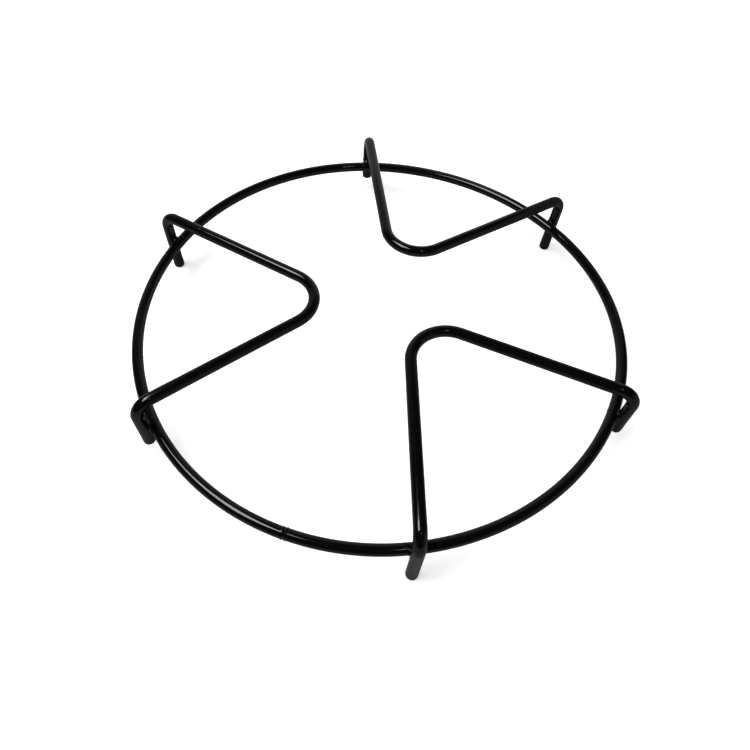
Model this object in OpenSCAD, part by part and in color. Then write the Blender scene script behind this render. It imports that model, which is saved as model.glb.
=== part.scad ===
// Side burner grate: a wire hoop that carries three V-shaped arms, each bent from one rod.
// Both ends of an arm turn down, pass the hoop on its outside and are welded to it there.
// One leg of each arm reaches the floor, and the other ends above it.
// The origin is on the floor under the middle of the hoop, +Z is up, and arm_1 lies towards +Y.

/* [Hoop] */
// Width of the hoop from wire middle to wire middle, the same in every direction
hoop_w = 230; // [200:1:260]
// Thickness of the hoop's wire
hoop_wire = 5; // [4:0.1:6.5]
// How much nearer the middle the hoop runs at each arm than halfway between two arms
hoop_pull = 1.4; // [0:0.1:3]
// Height of the hoop's wire middle above the floor
hoop_z = 18; // [14:0.5:23]

/* [Arms] */
// Thickness of the arms' rod
arm_wire = 5.3; // [4:0.1:6.5]
// Height of the top of the arms above the floor, where the pan stands
pan_z = 37.6; // [35:0.2:50]
// Angle between the two legs of an arm, seen from the middle of the grate
leg_angle = 57; // [40:1:60]
// Height of the end of each arm's short leg above the floor
short_leg_z = 8; // [3:0.5:12]
// Radius of the bend at the top of each leg, at the rod's middle
leg_bend_r = 7.1; // [5:0.1:9]
// Distance from the middle of the grate to the corner that the point of the V rounds off
point_r = 17.8; // [10:0.2:30]
// How far that corner lies off the arm's middle line, towards the short leg
point_shift = 2.1; // [0:0.1:4]
// Radius of the bend at the point of the V, at the rod's middle
point_bend_r = 16.4; // [8:0.2:24]
// Rounding of the rim at the end of each leg
leg_rim_r = 0.8; // [0.2:0.1:1.4]

/* [Welds] */
// How deep a leg is pressed onto the hoop where the two are welded
set_down = 0.6; // [0.2:0.1:1]
// Radius of the bead of weld metal about each crossing
bead_r = 3.1; // [2.6:0.1:3.8]
// Direction of the joint where the hoop's ends are welded together, from +X
seam_angle = 276.5; // [246:0.5:294]
// Distance between the two ridges beside that joint
seam_w = 1.5; // [1:0.1:3]
// Height of each ridge above the wire
seam_h = 0.15; // [0.05:0.05:0.3]

/* [Hidden] */
LEGS = ["long", "short"];
$fn = 64;
weld_fn = 200;
enamel = [0.06, 0.06, 0.06];

// Bending draws a rod a hair thinner, and the unbent stretches lap the ends of the bends.
thinning = 0.02;
lap = 0.05;

// The hoop is six tangent arcs on three centres, so it is equally wide all round.
arc_turn = 60;
centre_r = hoop_pull / (2 - sqrt(3));
arc_change = centre_r * sqrt(3) / 2;
bulge_r = hoop_w / 2 - arc_change;
flat_r = hoop_w / 2 + arc_change;
ridge_r = seam_w / 4;

// An arm is worked out with its middle line along +X, from the middle of the grate outwards.
arm_z = pan_z - arm_wire / 2;
leg_seat = hoop_wire / 2 + arm_wire / 2 - set_down;
half_angle = leg_angle / 2;
leg_r = sqrt((flat_r + leg_seat) ^ 2 - (centre_r * sin(half_angle)) ^ 2) - centre_r * cos(half_angle);
leg_x = leg_r * cos(half_angle);
leg_y = leg_r * sin(half_angle);
corner = [sqrt(point_r ^ 2 - point_shift ^ 2), point_shift];
to_long = unit(leg_at("long") - corner);
to_short = unit(leg_at("short") - corner);
middle = unit(to_long + to_short);
corner_half = acos(to_long * to_short) / 2;

function unit(v) = v / norm(v);
function leg_at(leg) = [leg_x, leg == "long" ? -leg_y : leg_y];
function foot_z(leg) = leg == "long" ? 0 : short_leg_z;
function arm_turn(k) = 90 + 120 * (k - 1);
function heading(v) = atan2(v.y, v.x);

// The middle of a weld: on the line from the hoop's arc centre to the leg, where the wires press together.
function weld_at(leg) =
    let (arc_centre = [-centre_r, 0], out = unit(leg_at(leg) - arc_centre))
    arc_centre + out * (flat_r + (hoop_wire - set_down) / 2);

// An arc of wire in the XY plane about the origin, with its middle towards +X.
module wire_arc(radius, thickness, turn) {
    rotate(-turn / 2) rotate_extrude(angle = turn) translate([radius, 0]) circle(d = thickness);
}

// The hoop's wire with its three flatter sides turned towards 0, 120 and 240 degrees.
module hoop_rod() {
    lap_turn = 2 * asin(lap / flat_r);
    translate([0, 0, hoop_z]) for (turn = [0, 120, 240]) rotate(turn) {
        translate([-centre_r, 0]) wire_arc(flat_r, hoop_wire, arc_turn + lap_turn);
        rotate(180) translate([centre_r, 0]) wire_arc(bulge_r, hoop_wire - thinning, arc_turn);
    }
}

// Moves its children onto the hoop's butt weld, with the wire running along Z.
module at_seam() {
    bulge_turn = 270;
    rotate(bulge_turn) translate([centre_r, 0, hoop_z]) rotate(seam_angle - bulge_turn)
        translate([bulge_r, 0]) rotate([90, 0, 0]) children();
}

module wire_ridge(offset) {
    translate([0, 0, offset]) rotate_extrude()
        translate([hoop_wire / 2 + seam_h - ridge_r, 0]) circle(r = ridge_r);
}

module hoop() color(enamel) difference() {
    union() {
        rotate(arm_turn(1)) hoop_rod();
        at_seam() for (side = [-1, 1]) wire_ridge(side * seam_w / 2);
    }
    at_seam() rotate_extrude() translate([hoop_wire / 2 + seam_h, 0]) circle(r = ridge_r);
}

// Half the outline of an upright leg with a rounded rim at its foot.
module leg_outline(height) {
    translate([0, leg_rim_r]) square([arm_wire / 2, height - leg_rim_r]);
    square([arm_wire / 2 - leg_rim_r, height]);
    translate([arm_wire / 2 - leg_rim_r, leg_rim_r]) circle(r = leg_rim_r);
}

module leg_rod(leg) {
    translate([leg_at(leg).x, leg_at(leg).y, foot_z(leg)])
        rotate_extrude() leg_outline(arm_z - leg_bend_r + lap - foot_z(leg));
}

module leg_bend(leg) {
    inward = corner - leg_at(leg);
    translate([leg_at(leg).x, leg_at(leg).y, arm_z - leg_bend_r]) rotate([90, 0, heading(inward)])
        translate([leg_bend_r, 0]) rotate(135) wire_arc(leg_bend_r, arm_wire - thinning, 90);
}

module run_rod(leg) {
    outward = unit(leg_at(leg) - corner);
    inner_end = point_bend_r / tan(corner_half) - lap;
    outer_end = norm(leg_at(leg) - corner) - leg_bend_r + lap;
    start = corner + outward * inner_end;
    translate([start.x, start.y, arm_z]) rotate([0, 90, heading(outward)])
        cylinder(d = arm_wire, h = outer_end - inner_end);
}

module point_bend() {
    bend_centre = corner + middle * point_bend_r / sin(corner_half);
    translate([bend_centre.x, bend_centre.y, arm_z]) rotate(heading(-middle))
        wire_arc(point_bend_r, arm_wire - thinning, 180 - 2 * corner_half);
}

module arm(k) color(enamel) rotate(arm_turn(k)) difference() {
    union() {
        point_bend();
        for (leg = LEGS) {
            run_rod(leg);
            leg_bend(leg);
            leg_rod(leg);
        }
    }
    hoop_rod();
}

module weld(k, leg) color(enamel) rotate(arm_turn(k)) difference() {
    $fn = weld_fn;
    translate([weld_at(leg).x, weld_at(leg).y, hoop_z]) sphere(r = bead_r);
    leg_rod(leg);
    hoop_rod();
}

hoop();
arm(1);  // arm_1
arm(2);  // arm_2
arm(3);  // arm_3
weld(1, "long");  // weld_1_long
weld(1, "short");  // weld_1_short
weld(2, "long");  // weld_2_long
weld(2, "short");  // weld_2_short
weld(3, "long");  // weld_3_long
weld(3, "short");  // weld_3_short
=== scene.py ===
"""A side burner grate of bent and welded rod in black gloss enamel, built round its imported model.

The hoop and the arms are rods swept along their bends, and each weld is a fillet that flows
from one rod into the other. Every length is in metres.
"""

import math

import bmesh
import bpy
import numpy as np
from bpy.props import FloatProperty, FloatVectorProperty, IntProperty, PointerProperty
from mathutils import Matrix, Vector, noise


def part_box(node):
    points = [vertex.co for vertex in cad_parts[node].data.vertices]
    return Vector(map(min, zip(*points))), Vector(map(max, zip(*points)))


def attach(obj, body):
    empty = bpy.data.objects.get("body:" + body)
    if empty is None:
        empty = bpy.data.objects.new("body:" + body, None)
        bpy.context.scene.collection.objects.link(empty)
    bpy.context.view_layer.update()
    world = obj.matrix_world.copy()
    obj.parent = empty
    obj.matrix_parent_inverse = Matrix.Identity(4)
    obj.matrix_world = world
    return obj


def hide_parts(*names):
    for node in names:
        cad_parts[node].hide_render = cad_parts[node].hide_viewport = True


bl_info = {
    "name": "Side burner grate",
    "version": (1, 0, 0),
    "blender": (4, 5, 0),
    "location": "View3D > Sidebar > Grate",
    "description": "Builds the rods, welds and enamel of a side burner grate, and a stage for it",
    "category": "Object",
}

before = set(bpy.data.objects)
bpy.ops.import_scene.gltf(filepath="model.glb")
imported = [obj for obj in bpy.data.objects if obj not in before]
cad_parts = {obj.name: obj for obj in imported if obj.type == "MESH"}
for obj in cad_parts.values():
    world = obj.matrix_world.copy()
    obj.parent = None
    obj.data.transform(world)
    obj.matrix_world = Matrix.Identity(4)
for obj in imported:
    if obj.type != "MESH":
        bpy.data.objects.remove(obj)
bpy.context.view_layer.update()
MM = 0.001
ARMS = (1, 2, 3)
LEGS = ("long", "short")
WHITE = (1.0, 1.0, 1.0, 1.0)
BLACK = (0.0, 0.0, 0.0, 1.0)
UP = Vector((0.0, 0.0, 1.0))

# The marks in the coat: how long clouds, pebbles, speckles and grains of dust are
CLOUD, PEBBLE, SPECKLE, DUST = 9.0 * MM, 3.2 * MM, 1.1 * MM, 0.45 * MM

# How much clouds and dust lighten the coat, and how much speckles and dust dull it
CLOUD_LIGHTENS, DUST_LIGHTENS = 0.5, 0.12
SPECKLE_DULLS, DUST_DULLS = 0.02, 0.12

# The rings on a leg's flat end, as shares of its radius, and the turn between rings round its rim
END_RINGS = (0.25, 0.55, 0.85)
RIM_STEP = math.radians(15)

# Where above a leg's end the coat has run together, and how far that swelling spreads
DRIP_HEIGHT, DRIP_SPREAD = 2.2 * MM, 1.8 * MM

# How much bending draws in the outside of a rod and pushes out its flanks, as shares of its radius,
# and how strongly the wide bend at the point does so beside the tight one at a leg
BEND_DRAWS, BEND_SWELLS = 0.030, 0.012
POINT_BEND_SHARE = 0.35


# Settings

class GrateRods(bpy.types.PropertyGroup):
    """The rods' thicknesses and the sizes of their bends."""

    hoop_width: FloatProperty(
        name="Hoop width", description="Width of the hoop between wire middles",
        default=0.230, min=0.2, max=0.26, unit="LENGTH")
    hoop_wire: FloatProperty(
        name="Hoop wire", description="Thickness of the hoop's wire",
        default=0.005, min=0.004, max=0.0065, unit="LENGTH")
    hoop_pull: FloatProperty(
        name="Hoop pull", description="How much nearer the middle the hoop runs at each arm",
        default=0.0014, min=0.0, max=0.003, unit="LENGTH")
    hoop_height: FloatProperty(
        name="Hoop height", description="Height of the wire's middle above the floor",
        default=0.018, min=0.014, max=0.023, unit="LENGTH")
    arm_rod: FloatProperty(
        name="Arm rod", description="Thickness of the arms' rod",
        default=0.0053, min=0.004, max=0.0065, unit="LENGTH")
    arm_top: FloatProperty(
        name="Arm top", description="Height of the top of the arms above the floor",
        default=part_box("arm_1")[1][2], min=0.035, max=0.05, unit="LENGTH")
    short_leg_end: FloatProperty(
        name="Short leg's end", description="Height of each short leg's end above the floor",
        default=0.008, min=0.003, max=0.012, unit="LENGTH")
    leg_angle: FloatProperty(
        name="Leg angle", description="Angle between an arm's legs, seen from the middle",
        default=math.radians(57), min=math.radians(40), max=math.radians(60), subtype="ANGLE")
    leg_bend: FloatProperty(
        name="Leg bend", description="Radius of the bend at the top of each leg",
        default=0.0071, min=0.005, max=0.009, unit="LENGTH")
    point_radius: FloatProperty(
        name="Point radius", description="Distance from the middle to the corner of the V",
        default=0.0178, min=0.01, max=0.03, unit="LENGTH")
    point_shift: FloatProperty(
        name="Point shift", description="How far the corner lies towards the short leg",
        default=0.0021, min=0.0, max=0.004, unit="LENGTH")
    point_bend: FloatProperty(
        name="Point bend", description="Radius of the bend at the point of the V",
        default=0.0164, min=0.008, max=0.024, unit="LENGTH")
    rim: FloatProperty(
        name="Leg rim", description="Rounding of the rim at the end of each leg",
        default=0.0008, min=0.0002, max=0.0014, unit="LENGTH")
    set_down: FloatProperty(
        name="Set-down", description="How deep a leg is pressed onto the hoop at a weld",
        default=0.0006, min=0.0002, max=0.001, unit="LENGTH")
    seam_angle: FloatProperty(
        name="Seam angle", description="Direction of the hoop's butt weld",
        default=math.radians(276.5), subtype="ANGLE")
    ring_sides: IntProperty(
        name="Sides", description="Number of points round a rod", default=32, min=12, max=64)
    ring_step: FloatProperty(
        name="Ring spacing", description="Distance between rings of points along a rod",
        default=0.0011, min=0.0005, max=0.004, unit="LENGTH")


class GrateEnamel(bpy.types.PropertyGroup):
    """The coat of enamel."""

    colour: FloatVectorProperty(
        name="Colour", description="Colour of the enamel where it is thickest",
        default=(0.0011, 0.0011, 0.0013), size=3, min=0.0, max=1.0, subtype="COLOR")
    thin_colour: FloatVectorProperty(
        name="Thin colour", description="Colour of the enamel where it is thinnest",
        default=(0.0040, 0.0037, 0.0046), size=3, min=0.0, max=1.0, subtype="COLOR")
    roughness: FloatProperty(
        name="Roughness", description="Roughness of the enamel where it is smoothest",
        default=0.055, min=0.0, max=1.0)
    ripple: FloatProperty(
        name="Ripple", description="Height of the slow waves in the coat",
        default=0.000016, min=0.0, max=0.0001, unit="LENGTH")
    ripple_length: FloatProperty(
        name="Ripple length", description="Distance from wave to wave",
        default=0.008, min=0.001, max=0.02, unit="LENGTH")
    peel: FloatProperty(
        name="Peel", description="Height of the fine grain in the coat",
        default=0.0000028, min=0.0, max=0.00005, unit="LENGTH")
    drip: FloatProperty(
        name="Drip", description="How much thicker the coat has run together at a leg's end",
        default=0.00009, min=0.0, max=0.0003, unit="LENGTH")
    fillet: FloatProperty(
        name="Fillet", description="Reach of the fillet where weld and coat fill a corner",
        default=0.0013, min=0.0002, max=0.003, unit="LENGTH")


class GrateStage(bpy.types.PropertyGroup):
    """The floor, the lamps, the room and the camera."""

    floor_colour: FloatVectorProperty(
        name="Floor", description="Colour of the floor",
        default=(0.8, 0.8, 0.8), size=3, min=0.0, max=1.0, subtype="COLOR")
    floor_gloom: FloatProperty(
        name="Floor gloom", description="How much darker than its colour the floor is in the gloss",
        default=0.75, min=0.0, max=1.0)
    lamp_place: FloatVectorProperty(
        name="Lamp", description="Place of the main lamp",
        default=(-0.290, -0.177, 0.730), size=3, subtype="TRANSLATION", unit="LENGTH")
    lamp_width: FloatProperty(
        name="Lamp width", description="Width of the main lamp",
        default=0.45, min=0.02, max=2.0, unit="LENGTH")
    lamp_depth: FloatProperty(
        name="Lamp depth", description="Depth of the main lamp",
        default=0.313, min=0.02, max=2.0, unit="LENGTH")
    lamp_power: FloatProperty(
        name="Lamp power", description="Power of the main lamp",
        default=3.7, min=0.0, max=100.0, unit="POWER")
    small_lamp_place: FloatVectorProperty(
        name="Small lamp", description="Place of the small lamp that is near the camera",
        default=(0.37, -0.37, 0.95), size=3, subtype="TRANSLATION", unit="LENGTH")
    small_lamp_width: FloatProperty(
        name="Small lamp width", description="Width and depth of the small lamp",
        default=0.05, min=0.01, max=1.0, unit="LENGTH")
    small_lamp_power: FloatProperty(
        name="Small lamp power", description="Power of the small lamp",
        default=0.15, min=0.0, max=100.0, unit="POWER")
    sun_strength: FloatProperty(
        name="Soft sun", description="Strength of the even light from above", default=1.4, min=0.0, max=10.0)
    ambient: FloatProperty(
        name="Ambient", description="Even light from all round", default=0.30, min=0.0, max=4.0)
    ceiling: FloatProperty(
        name="Ceiling", description="How bright the room overhead is in the gloss",
        default=0.012, min=0.0, max=4.0)
    wall: FloatProperty(
        name="Wall", description="How bright the pale walls are in the gloss",
        default=0.20, min=0.0, max=4.0)
    wall_azimuth: FloatProperty(
        name="Wall azimuth", description="Direction of the back wall's middle, from +X",
        default=math.radians(120), subtype="ANGLE")
    back_card: FloatProperty(
        name="Back card", description="How bright the card close behind arm_1 is in the gloss",
        default=0.42, min=0.0, max=4.0)
    corner_card: FloatProperty(
        name="Corner card", description="How bright the card at the back right corner is in the gloss",
        default=0.16, min=0.0, max=4.0)
    camera_place: FloatVectorProperty(
        name="Camera", description="Place of the camera",
        default=(0.06912, -0.17778, 0.24425), size=3, subtype="TRANSLATION", unit="LENGTH")
    camera_azimuth: FloatProperty(
        name="Azimuth", description="Direction that the camera looks in, from +Y towards -X",
        default=math.radians(23.24), subtype="ANGLE")
    camera_elevation: FloatProperty(
        name="Elevation", description="How steeply the camera looks down",
        default=math.radians(55.53), subtype="ANGLE")
    camera_roll: FloatProperty(
        name="Roll", description="Turn of the camera about its line of sight",
        default=math.radians(3.16), subtype="ANGLE")
    camera_lens: FloatProperty(
        name="Lens", description="Focal length in millimetres on a 36 mm sensor", default=29.07)
    camera_shift: FloatProperty(
        name="Shift", description="Sideways shift of the frame, in frame widths", default=0.016)


# Shader maths

class Field:
    """A shader value that works in sums, so that 1 - mask adds its own Math node."""

    def __init__(self, recipe, socket):
        self.recipe = recipe
        self.socket = socket

    def combine(self, operation, first, second):
        return self.recipe.add("ShaderNodeMath", {"operation": operation}, {0: first, 1: second})

    def __add__(self, other):
        return self.combine("ADD", self, other)

    def __sub__(self, other):
        return self.combine("SUBTRACT", self, other)

    def __rsub__(self, other):
        return self.combine("SUBTRACT", other, self)

    def __mul__(self, other):
        return self.combine("MULTIPLY", self, other)

    __radd__ = __add__
    __rmul__ = __mul__


class Recipe:
    """The node tree of a material or world."""

    def __init__(self, owner):
        owner.use_nodes = True
        self.tree = owner.node_tree
        self.tree.nodes.clear()

    def add(self, kind, settings=None, inputs=None, output=0):
        """A new node with its settings and its sockets' values or links, as the value that it gives."""
        node = self.tree.nodes.new(kind)
        for name, value in (settings or {}).items():
            setattr(node, name, value)
        for name, value in (inputs or {}).items():
            if isinstance(value, Field):
                self.tree.links.new(value.socket, node.inputs[name])
            else:
                node.inputs[name].default_value = value
        return Field(self, node.outputs[output]) if node.outputs else node

    def noise(self, place, feature, detail=2.0):
        """Smooth noise from 0 to 1 whose features are about that many metres long."""
        return self.add("ShaderNodeTexNoise", {}, {"Vector": place, "Scale": 1 / feature, "Detail": detail})

    def smooth(self, value, low, high):
        """0 where value is under low, 1 where it is over high, and smooth between."""
        return self.add("ShaderNodeMapRange", {"interpolation_type": "SMOOTHSTEP"},
                        {"Value": value, "From Min": low, "From Max": high})

    def white_glow(self, strength):
        return self.add("ShaderNodeEmission", {}, {"Color": WHITE, "Strength": strength})


def enamel_material(name, rough_change, grain):
    """Black gloss enamel. rough_change dulls it in patches, and grain is the fine relief's height."""
    enamel = bpy.context.scene.grate_enamel
    material = bpy.data.materials.new(name)
    recipe = Recipe(material)
    place = recipe.add("ShaderNodeTexCoord", output="Object")
    cloud = recipe.noise(place, CLOUD)
    speckle = recipe.noise(place, SPECKLE, detail=3.0)
    dust = recipe.smooth(recipe.noise(place, DUST, detail=1.0), 0.68, 0.80)
    colour = recipe.add("ShaderNodeMix", {"data_type": "RGBA"}, {
        0: cloud * CLOUD_LIGHTENS + dust * DUST_LIGHTENS,
        6: (*enamel.colour, 1.0),
        7: (*enamel.thin_colour, 1.0)}, output=2)
    height = speckle + recipe.noise(place, PEBBLE) * 1.6
    relief = recipe.add("ShaderNodeBump", {}, {"Strength": 1.0, "Distance": grain, "Height": height})
    surface = recipe.add("ShaderNodeBsdfPrincipled", {}, {
        "Base Color": colour,
        "Roughness": enamel.roughness + rough_change * cloud + SPECKLE_DULLS * speckle + DUST_DULLS * dust,
        "IOR": 1.5,
        "Normal": relief})
    recipe.add("ShaderNodeOutputMaterial", {}, {"Surface": surface})
    return material


def shared_material(name, rough_change, grain):
    """The enamel of that name, made on its first use."""
    return bpy.data.materials.get(name) or enamel_material(name, rough_change, grain)


# Geometry of the rods

def turned(point, angle):
    """A point turned about the grate's axis."""
    c, s = math.cos(angle), math.sin(angle)
    return Vector((c * point[0] - s * point[1], s * point[0] + c * point[1], point[2]))


def spread(start, end, spacing):
    """Evenly spaced numbers from start to end, both included, no further apart than spacing."""
    count = max(1, math.ceil(abs(end - start) / spacing))
    return [start + (end - start) * i / count for i in range(count + 1)]


def bell(value, middle, width):
    """1 at the middle, and falling off smoothly on both sides of it."""
    return math.exp(-((value - middle) / width) ** 2)


class Layout:
    """Places that follow from the rods' sizes, with an arm's middle line along +X."""

    def __init__(self, rods):
        self.rods = rods
        self.centre = rods.hoop_pull / (2 - math.sqrt(3))
        change = self.centre * math.sqrt(3) / 2
        self.bulge = rods.hoop_width / 2 - change
        self.flat = rods.hoop_width / 2 + change
        self.arm_height = rods.arm_top - rods.arm_rod / 2
        half = rods.leg_angle / 2
        seat = self.flat + (rods.hoop_wire + rods.arm_rod) / 2 - rods.set_down
        radius = math.sqrt(seat ** 2 - (self.centre * math.sin(half)) ** 2) - self.centre * math.cos(half)
        self.leg = {
            "long": Vector((radius * math.cos(half), -radius * math.sin(half))),
            "short": Vector((radius * math.cos(half), radius * math.sin(half)))}
        self.foot = {"long": 0.0, "short": rods.short_leg_end}
        along = math.sqrt(rods.point_radius ** 2 - rods.point_shift ** 2)
        self.corner = Vector((along, rods.point_shift))
        self.outward = {leg: (self.leg[leg] - self.corner).normalized() for leg in LEGS}
        self.middle = (self.outward["long"] + self.outward["short"]).normalized()
        self.corner_half = self.outward["long"].angle(self.outward["short"]) / 2

    def arm_turn(self, arm):
        """The direction of an arm's middle line, from +X."""
        return math.radians(90 + 120 * (arm - 1))

    def hoop_point(self, angle):
        """The wire's middle at that direction from the nearest arm's middle line."""
        sixth = math.pi / 3
        step = round(angle / sixth)
        local = angle - step * sixth
        flat_side = step % 2 == 0
        radius, offset = (self.flat, -self.centre) if flat_side else (self.bulge, self.centre)
        reach = offset * math.cos(local) + math.sqrt(radius ** 2 - (offset * math.sin(local)) ** 2)
        return turned((reach, 0.0, self.rods.hoop_height), angle)

    def weld_point(self, leg):
        """The middle of the place where a leg is pressed onto the hoop."""
        arc_centre = Vector((-self.centre, 0.0))
        out = (self.leg[leg] - arc_centre).normalized()
        spot = arc_centre + out * (self.flat + (self.rods.hoop_wire - self.rods.set_down) / 2)
        return Vector((spot.x, spot.y, self.rods.hoop_height))


class Stop:
    """One ring of a swept rod: its middle, its radius, and how much it is bent and which way is out."""

    def __init__(self, point, radius, bent=0.0, out=None):
        self.point = point
        self.radius = radius
        self.bent = bent
        self.out = out

    def drawn_radius(self, normal):
        """The radius on that side of the ring, where bending has drawn the rod out of round."""
        if not self.bent:
            return self.radius
        lean = normal.dot(self.out)
        drawn = BEND_DRAWS * lean * max(lean, 0.0) - BEND_SWELLS * (1 - lean * lean)
        return self.radius * (1 - self.bent * drawn)


def foot_stops(rods, spot, foot):
    """The stops of a leg's end, from the middle of its flat face to the top of its rim."""
    radius = rods.arm_rod / 2
    stops = [Stop(Vector((*spot, foot)), (radius - rods.rim) * share) for share in END_RINGS]
    for angle in spread(math.pi / 2, 0.0, RIM_STEP):
        height = foot + rods.rim * (1 - math.sin(angle))
        stops.append(Stop(Vector((*spot, height)), radius - rods.rim * (1 - math.cos(angle))))
    return stops


def arm_side(layout, leg):
    """The stops of half an arm, from its foot to the start of the bend at the point of the V."""
    rods, drip = layout.rods, bpy.context.scene.grate_enamel.drip
    radius, top = rods.arm_rod / 2, layout.arm_height
    spot, outward, foot = layout.leg[leg], layout.outward[leg], layout.foot[leg]
    stops = foot_stops(rods, spot, foot)
    for height in spread(foot + rods.rim, top - rods.leg_bend, rods.ring_step)[1:]:
        swell = drip * bell(height - foot, DRIP_HEIGHT, DRIP_SPREAD)
        stops.append(Stop(Vector((*spot, height)), radius + swell))
    bend_end = (spot - layout.corner).length - rods.leg_bend
    for angle in spread(math.pi / 2, 0.0, rods.ring_step / rods.leg_bend)[1:]:
        flat = layout.corner + outward * (bend_end + rods.leg_bend * math.sin(angle))
        height = top - rods.leg_bend * (1 - math.cos(angle))
        out = Vector((*(outward * math.sin(angle)), math.cos(angle)))
        stops.append(Stop(Vector((*flat, height)), radius, math.sin(2 * angle), out))
    run_end = rods.point_bend / math.tan(layout.corner_half)
    for reach in spread(bend_end, run_end, rods.ring_step)[1:]:
        flat = layout.corner + outward * reach
        stops.append(Stop(Vector((*flat, top)), radius))
    return stops


def arm_stops(layout):
    """The stops of a whole arm, from the long leg's foot to the short leg's."""
    rods = layout.rods
    centre = layout.corner + layout.middle * rods.point_bend / math.sin(layout.corner_half)
    sweep = math.pi / 2 - layout.corner_half
    back = math.atan2(-layout.middle.y, -layout.middle.x)
    bend = []
    for angle in spread(-sweep, sweep, rods.ring_step / rods.point_bend)[1:-1]:
        out = Vector((math.cos(back + angle), math.sin(back + angle), 0.0))
        place = Vector((*centre, layout.arm_height)) + out * rods.point_bend
        bent = POINT_BEND_SHARE * math.cos(angle / sweep * math.pi / 2)
        bend.append(Stop(place, rods.arm_rod / 2, bent, out))
    first = arm_side(layout, "long")
    last = arm_side(layout, "short")[::-1]
    if (bend[0].point - first[-1].point).length > (bend[-1].point - first[-1].point).length:
        bend.reverse()
    return first + bend + last


def wave(point, enamel):
    """How much the slow waves in the coat stand proud at a point."""
    slow = noise.noise(point / enamel.ripple_length)
    quick = noise.noise(point / (enamel.ripple_length * 0.4) + Vector((7.0, 3.0, 1.0)))
    return enamel.ripple * (slow + 0.45 * quick)


def across_rod(points, closed):
    """Two directions across the rod at each point, which turn as little as they can along it."""
    count = len(points)
    pairs = []
    side = None
    for i, point in enumerate(points):
        before = points[i - 1] if closed or i else point
        after = points[(i + 1) % count] if closed or i < count - 1 else point
        tangent = after - before
        # The rings on a flat end share one middle, so they face along the upright leg.
        if tangent.length < 1e-9:
            tangent = UP if i < count / 2 else -UP
        tangent = tangent.normalized()
        if side is None:
            side = UP if closed else tangent.orthogonal().normalized()
        side = (side - tangent * side.dot(tangent)).normalized()
        pairs.append((side, tangent.cross(side)))
    return pairs


def sweep_rod(name, stops, closed):
    """A rod through the stops, as rings of quads, with its ends closed by a fan."""
    enamel = bpy.context.scene.grate_enamel
    sides = bpy.context.scene.grate_rods.ring_sides
    full_wave = 1.5 * MM
    verts, faces, rings = [], [], []
    for stop, (side, other) in zip(stops, across_rod([stop.point for stop in stops], closed)):
        ring = []
        for j in range(sides):
            angle = 2 * math.pi * j / sides
            normal = side * math.cos(angle) + other * math.sin(angle)
            place = stop.point + normal * stop.drawn_radius(normal)
            place += normal * wave(place, enamel) * min(1.0, stop.radius / full_wave)
            ring.append(len(verts))
            verts.append(place)
        rings.append(ring)
    for here, there in zip(rings, rings[1:] + rings[:1] if closed else rings[1:]):
        for j in range(sides):
            k = (j + 1) % sides
            faces.append((here[j], here[k], there[k], there[j]))
    if not closed:
        for ring, stop, flip in ((rings[0], stops[0], True), (rings[-1], stops[-1], False)):
            tip = len(verts)
            verts.append(stop.point)
            for j in range(sides):
                k = (j + 1) % sides
                faces.append((ring[k], ring[j], tip) if flip else (ring[j], ring[k], tip))
    return mesh_piece(name, verts, faces)


def mesh_piece(name, verts, faces):
    """A smooth-shaded mesh object with its faces turned outwards."""
    mesh = bpy.data.meshes.new(name)
    mesh.from_pydata([tuple(v) for v in verts], [], faces)
    work = bmesh.new()
    work.from_mesh(mesh)
    bmesh.ops.recalc_face_normals(work, faces=work.faces)
    work.to_mesh(mesh)
    work.free()
    mesh.polygons.foreach_set("use_smooth", [True] * len(mesh.polygons))
    piece = bpy.data.objects.new(name, mesh)
    bpy.context.scene.collection.objects.link(piece)
    return piece


def finish_piece(piece, node, material):
    """Gives a piece its finish and puts it in the place of its node."""
    piece.data.materials.append(material)
    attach(piece, "root")
    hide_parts(node)


# Pieces

class GRATE_OT_hoop(bpy.types.Operator):
    """Bend the hoop from wire and butt-weld its ends"""

    bl_idname = "grate.hoop"
    bl_label = "Bend the hoop"

    # How far the butt weld reaches on each side, and the distance between rings there
    seam_reach = 4.0 * MM
    seam_step = 0.08 * MM

    # The height, place along the wire and width of its two ridges and its groove
    seam_forms = (
        (0.25 * MM, 0.75 * MM, 0.28 * MM),
        (0.16 * MM, -0.75 * MM, 0.32 * MM),
        (-0.11 * MM, 0.15 * MM, 0.30 * MM))

    # How far the wire's two ends miss each other in height, and over what length that fades
    mismatch = 0.10 * MM
    mismatch_fade = 5.0 * MM
    mismatch_turn = 0.4 * MM

    def execute(self, context):
        rods, enamel = context.scene.grate_rods, context.scene.grate_enamel
        layout = Layout(rods)
        first_turn = layout.arm_turn(1)
        radius = rods.hoop_width / 2
        seam = self.seam_reach / radius
        angles = spread(-seam, seam, self.seam_step / radius)
        angles += spread(seam, 2 * math.pi - seam, rods.ring_step / radius)[1:-1]
        stops = []
        for angle in angles:
            run = ((angle + math.pi) % (2 * math.pi) - math.pi) * radius
            point = turned(layout.hoop_point(angle + rods.seam_angle - first_turn), first_turn)
            point.z += self.lift(run)
            rise = sum(height * bell(run, place, width) for height, place, width in self.seam_forms)
            stops.append(Stop(point, rods.hoop_wire / 2 + rise))
        piece = sweep_rod("hoop_wire", stops, True)
        finish_piece(piece, "hoop", shared_material("black_enamel", 0.05, enamel.peel))
        return {"FINISHED"}

    def lift(self, run):
        """How far the wire is off its height at that distance along it from the butt weld."""
        if not run:
            return 0.0
        lift = self.mismatch * math.copysign(math.exp(-abs(run) / self.mismatch_fade), run)
        return lift * min(1.0, abs(run) / self.mismatch_turn)


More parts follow.
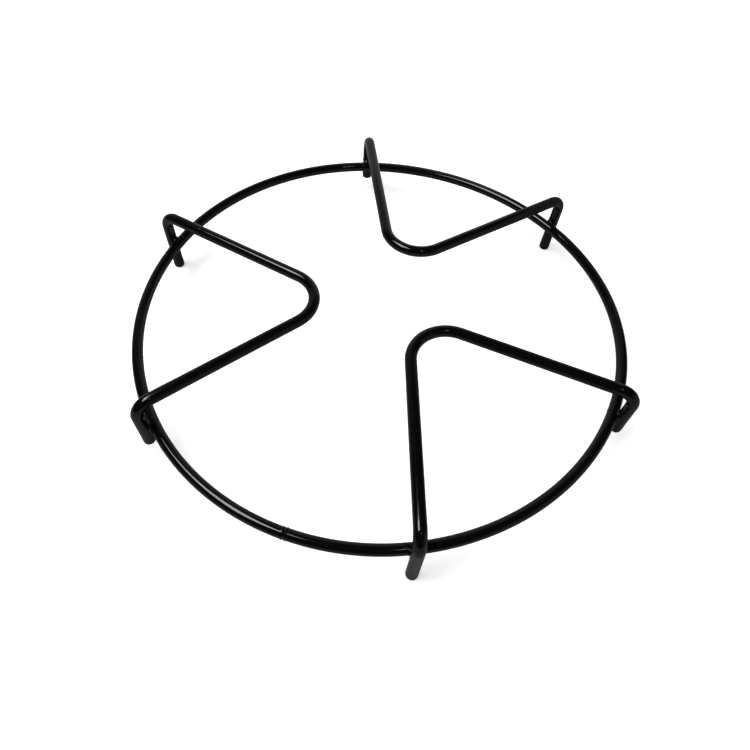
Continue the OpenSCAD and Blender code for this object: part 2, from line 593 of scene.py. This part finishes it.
class GRATE_OT_arms(bpy.types.Operator):
    """Bend the three arms, each from one rod"""

    bl_idname = "grate.arms"
    bl_label = "Bend the arms"

    def execute(self, context):
        rods, enamel = context.scene.grate_rods, context.scene.grate_enamel
        layout = Layout(rods)
        for arm in ARMS:
            stops = arm_stops(layout)
            for stop in stops:
                stop.point = turned(stop.point, layout.arm_turn(arm))
                if stop.out is not None:
                    stop.out = turned(stop.out, layout.arm_turn(arm))
            piece = sweep_rod(f"arm_rod_{arm}", stops, False)
            finish_piece(piece, f"arm_{arm}", shared_material("black_enamel", 0.05, enamel.peel))
        return {"FINISHED"}


class GRATE_OT_welds(bpy.types.Operator):
    """Lay a weld at each crossing of a leg and the hoop"""

    bl_idname = "grate.welds"
    bl_label = "Lay the welds"

    # The metal is felt for along rays from the weld's middle, from this far out and in this many steps.
    # Each step covers that share of the gap that is left.
    reach = 5.0 * MM
    steps = 70
    stride = 0.75

    # How far the weld's skin lies inside the rods' own away from the fillet
    sink = 0.045 * MM

    # The lumps of the bead and the droplets of spatter, and how smoothly each kind joins the rest
    lumps = 3
    lump_blend = 0.5 * MM
    drops = 9
    drop_blend = 0.18 * MM

    def execute(self, context):
        rods, enamel = context.scene.grate_rods, context.scene.grate_enamel
        layout = Layout(rods)
        rays, faces = self.directions()
        material = shared_material("weld_enamel", 0.12, enamel.peel * 3)
        for arm in ARMS:
            for leg in LEGS:
                seed = Vector((arm * 11.0, LEGS.index(leg) * 5.0, 2.0))
                balls = self.balls(layout, leg, seed)
                centre = np.array(layout.weld_point(leg))
                far = np.full(len(rays), self.reach)
                for _ in range(self.steps):
                    gap = self.gap(layout, leg, balls, centre + rays * far[:, None])
                    far -= np.clip(gap, 0.0, None) * self.stride
                skin = centre + rays * far[:, None]
                verts = [turned(v, layout.arm_turn(arm)) for v in skin]
                piece = mesh_piece(f"weld_bead_{arm}_{leg}", verts, faces)
                finish_piece(piece, f"weld_{arm}_{leg}", material)
        return {"FINISHED"}

    def directions(self):
        """Unit vectors spread evenly over a ball, and the triangles between them."""
        ball = bmesh.new()
        bmesh.ops.create_icosphere(ball, subdivisions=6, radius=1.0)
        ball.verts.index_update()
        rays = np.array([v.co.normalized() for v in ball.verts])
        faces = [tuple(v.index for v in face.verts) for face in ball.faces]
        ball.free()
        return rays, faces

    def gap(self, layout, leg, balls, points):
        """How far each point lies outside the welded metal, whose corners are filled smoothly."""
        rods, fillet = layout.rods, bpy.context.scene.grate_enamel.fillet
        spot = layout.leg[leg]
        rod = np.hypot(points[:, 0] - spot.x, points[:, 1] - spot.y) - rods.arm_rod / 2
        across = np.hypot(points[:, 0] + layout.centre, points[:, 1]) - layout.flat
        wire = np.hypot(across, points[:, 2] - rods.hoop_height) - rods.hoop_wire / 2
        gap = blended(rod + self.sink, wire + self.sink, fillet)
        for place, size, blend in balls:
            gap = blended(gap, np.linalg.norm(points - place, axis=1) - size, blend)
        return gap

    def balls(self, layout, leg, seed):
        """The place, radius and blend of each lump of the bead and each droplet beside it."""
        centre = layout.weld_point(leg)
        balls = []
        for lump in range(self.lumps):
            size = (1.55 - 0.25 * lump) * MM
            balls.append((np.array(centre + self.lump_place(seed, lump)), size, self.lump_blend))
        for drop in range(self.drops):
            size = (0.20 + 0.24 * chance(seed, drop)) * MM
            balls.append((np.array(self.drop_place(layout, leg, seed, drop)), size, self.drop_blend))
        return balls

    def lump_place(self, seed, lump):
        """Where a lump of the bead sits, from the weld's middle."""
        x, y, z = (noise.noise(seed + Vector((lump * 3.7, 0.3 + 7.0 * axis, 0.9))) for axis in range(3))
        return Vector((0.6 * x, 1.9 * y, 1.5 * abs(z) + 0.9)) * MM

    def drop_place(self, layout, leg, seed, drop):
        """Where a droplet of spatter sits: the odd ones on the leg and the others on the hoop."""
        rods = layout.rods
        around = 2 * math.pi * chance(seed, drop + 20)
        along = chance(seed, drop + 40)
        if drop % 2:
            spot = layout.leg[leg]
            out = Vector((math.cos(around), math.sin(around), 0.0)) * rods.arm_rod / 2
            return Vector((spot.x, spot.y, rods.hoop_height + (0.8 + 3.2 * along) * MM)) + out
        turn = (layout.leg[leg] + Vector((layout.centre, 0.0))).angle_signed(Vector((1.0, 0.0)))
        turn += (along - 0.5) * 7.0 * MM / layout.flat
        reach = layout.flat + rods.hoop_wire / 2 * math.cos(around)
        height = rods.hoop_height + rods.hoop_wire / 2 * abs(math.sin(around))
        return Vector((reach * math.cos(turn) - layout.centre, reach * math.sin(turn), height))


def chance(seed, number):
    """A fixed number from 0 to 1 for each seed and number."""
    return 0.5 + 0.5 * noise.cell(seed * 3.1 + Vector((number * 1.7, number * 0.9, 5.0)))


def blended(first, second, reach):
    """The smaller of two distances, rounded off where they are within reach of each other."""
    mix = np.clip(0.5 + 0.5 * (second - first) / reach, 0.0, 1.0)
    return second * (1 - mix) + first * mix - reach * mix * (1 - mix)


# Stage

def place_light(name, kind, strength, place, turn):
    """A new light of that kind, as the object that holds it."""
    light = bpy.data.lights.new(name, kind)
    light.energy = strength
    holder = bpy.data.objects.new(name, light)
    holder.location = place
    holder.rotation_euler = turn
    bpy.context.scene.collection.objects.link(holder)
    return holder


def place_lamp(name, power, place, size):
    """A lamp of that width and depth that faces the middle of the grate."""
    middle = Vector((0.0, 0.0, 0.02))
    turn = (middle - Vector(place)).to_track_quat("-Z", "Y").to_euler()
    light = place_light(name, "AREA", power, place, turn).data
    light.shape = "RECTANGLE"
    light.size, light.size_y = size


def stage_sheet(name, corners):
    """A flat sheet of the stage with a material of its own, whose empty recipe is given back."""
    sheet = mesh_piece(name, corners, [(0, 1, 2, 3)])
    material = bpy.data.materials.new(name)
    sheet.data.materials.append(material)
    return sheet, Recipe(material)


class GRATE_OT_stage(bpy.types.Operator):
    """Set up the floor, the cards, the room, the lamps and the camera"""

    bl_idname = "grate.stage"
    bl_label = "Set the stage"

    # Half the floor's width
    floor_half = 3.0

    # How much the camera sees the floor lifted towards white, and from where to where it turns white
    floor_lift = 0.43
    floor_fade = (0.2, 1.2)

    # The ends of each card on the floor, and its height
    back_card = ((-0.20, 0.13), (0.02, 0.13), 0.095)
    corner_card = ((0.04, 0.17), (0.12, 0.085), 0.11)

    # Between which shares of a direction's length the pale walls begin and end
    wall_edge = (0.45, 0.80)
    wall_top = (0.66, 0.93)
    side_edge = (0.80, 0.97)

    sun_width = math.radians(70)
    sun_turn = (math.radians(12), math.radians(-18), 0.0)

    def execute(self, context):
        scene, stage = context.scene, context.scene.grate_stage
        self.floor(stage)
        self.card("back_card", *self.back_card, stage.back_card)
        self.card("corner_card", *self.corner_card, stage.corner_card)
        self.room(scene, stage)
        main_size = (stage.lamp_width, stage.lamp_depth)
        small_size = (stage.small_lamp_width, stage.small_lamp_width)
        place_lamp("main_lamp", stage.lamp_power, stage.lamp_place, main_size)
        place_lamp("camera_lamp", stage.small_lamp_power, stage.small_lamp_place, small_size)
        self.soft_sun(stage)
        self.camera(scene, stage)
        scene.view_settings.view_transform = "Standard"
        return {"FINISHED"}

    def floor(self, stage):
        """Pale paper that turns white for the camera and is darker in the gloss."""
        half = self.floor_half
        corners = [(-half, -half, 0), (half, -half, 0), (half, half, 0), (-half, half, 0)]
        _, recipe = stage_sheet("floor", corners)
        seen = recipe.add("ShaderNodeLightPath", output="Is Camera Ray")
        mirrored = recipe.add("ShaderNodeLightPath", output="Is Glossy Ray")
        place = recipe.add("ShaderNodeTexCoord", output="Object")
        distance = recipe.add("ShaderNodeVectorMath", {"operation": "LENGTH"}, {0: place}, output="Value")
        paper = recipe.add("ShaderNodeBsdfDiffuse", {}, {"Color": (*stage.floor_colour, 1.0)})
        gloom = recipe.add("ShaderNodeBsdfDiffuse", {}, {"Color": BLACK})
        ground = recipe.add("ShaderNodeMixShader", {}, {0: mirrored * stage.floor_gloom, 1: paper, 2: gloom})
        white = recipe.white_glow(seen * (self.floor_lift + recipe.smooth(distance, *self.floor_fade)))
        both = recipe.add("ShaderNodeAddShader", {}, {0: ground, 1: white})
        recipe.add("ShaderNodeOutputMaterial", {}, {"Surface": both})

    def card(self, name, left, right, top, level):
        """A pale card that stands behind the grate and shows only in its gloss."""
        sheet, recipe = stage_sheet(name, [(*left, 0), (*right, 0), (*right, top), (*left, top)])
        mirrored = recipe.add("ShaderNodeLightPath", output="Is Glossy Ray")
        recipe.add("ShaderNodeOutputMaterial", {}, {"Surface": recipe.white_glow(mirrored * level)})
        sheet.visible_camera = sheet.visible_diffuse = sheet.visible_shadow = False

    def room(self, scene, stage):
        """White for the camera, even light for the part, and a dark room with pale walls in the gloss."""
        scene.world = bpy.data.worlds.new("studio")
        recipe = Recipe(scene.world)
        seen = recipe.add("ShaderNodeLightPath", output="Is Camera Ray")
        mirrored = recipe.add("ShaderNodeLightPath", output="Is Glossy Ray")
        way = recipe.add("ShaderNodeTexCoord", output="Generated")
        up = recipe.add("ShaderNodeSeparateXYZ", {}, {0: way}, output="Z")
        right = recipe.add("ShaderNodeSeparateXYZ", {}, {0: way}, output="X")
        back = (math.cos(stage.wall_azimuth), math.sin(stage.wall_azimuth), 0.0)
        towards = recipe.add(
            "ShaderNodeVectorMath", {"operation": "DOT_PRODUCT"}, {0: way, 1: back}, output="Value")
        back_wall = recipe.smooth(towards, *self.wall_edge) * (1 - recipe.smooth(up, *self.wall_top))
        side_wall = recipe.smooth(right, *self.side_edge)
        room = stage.ceiling + back_wall * stage.wall + side_wall * stage.wall
        strength = seen + (1 - seen) * (mirrored * room + (1 - mirrored) * stage.ambient)
        sky = recipe.add("ShaderNodeBackground", {}, {"Color": WHITE, "Strength": strength})
        recipe.add("ShaderNodeOutputWorld", {}, {"Surface": sky})

    def soft_sun(self, stage):
        """An even light from above that the enamel doesn't mirror."""
        holder = place_light("soft_sun", "SUN", stage.sun_strength, (0.0, 0.0, 0.0), self.sun_turn)
        holder.data.angle = self.sun_width
        holder.visible_glossy = False

    def camera(self, scene, stage):
        """The camera where the photograph was taken from."""
        eye = bpy.data.cameras.new("camera")
        eye.sensor_width = 36.0
        eye.lens = stage.camera_lens
        eye.shift_x = stage.camera_shift
        eye.clip_start = 0.01
        holder = bpy.data.objects.new("camera", eye)
        view = Matrix.Rotation(stage.camera_azimuth, 4, "Z")
        view = view @ Matrix.Rotation(math.pi / 2 - stage.camera_elevation, 4, "X")
        view = view @ Matrix.Rotation(stage.camera_roll, 4, "Z")
        holder.matrix_world = Matrix.Translation(stage.camera_place) @ view
        scene.collection.objects.link(holder)
        scene.camera = holder


class GRATE_PT_panel(bpy.types.Panel):
    """The steps of building the grate, in order."""

    bl_idname = "GRATE_PT_panel"
    bl_label = "Side burner grate"
    bl_space_type = "VIEW_3D"
    bl_region_type = "UI"
    bl_category = "Grate"

    def draw(self, context):
        for operator in OPERATORS:
            self.layout.operator(operator.bl_idname)


SETTINGS = {"grate_rods": GrateRods, "grate_enamel": GrateEnamel, "grate_stage": GrateStage}
OPERATORS = (GRATE_OT_stage, GRATE_OT_hoop, GRATE_OT_arms, GRATE_OT_welds)


def register():
    for name, group in SETTINGS.items():
        bpy.utils.register_class(group)
        setattr(bpy.types.Scene, name, PointerProperty(type=group))
    for item in (*OPERATORS, GRATE_PT_panel):
        bpy.utils.register_class(item)


def unregister():
    for item in (GRATE_PT_panel, *reversed(OPERATORS)):
        bpy.utils.unregister_class(item)
    for name, group in SETTINGS.items():
        delattr(bpy.types.Scene, name)
        bpy.utils.unregister_class(group)


def main():
    register()
    bpy.ops.grate.stage()
    bpy.ops.grate.hoop()
    bpy.ops.grate.arms()
    bpy.ops.grate.welds()


if __name__ == "__main__":
    main()
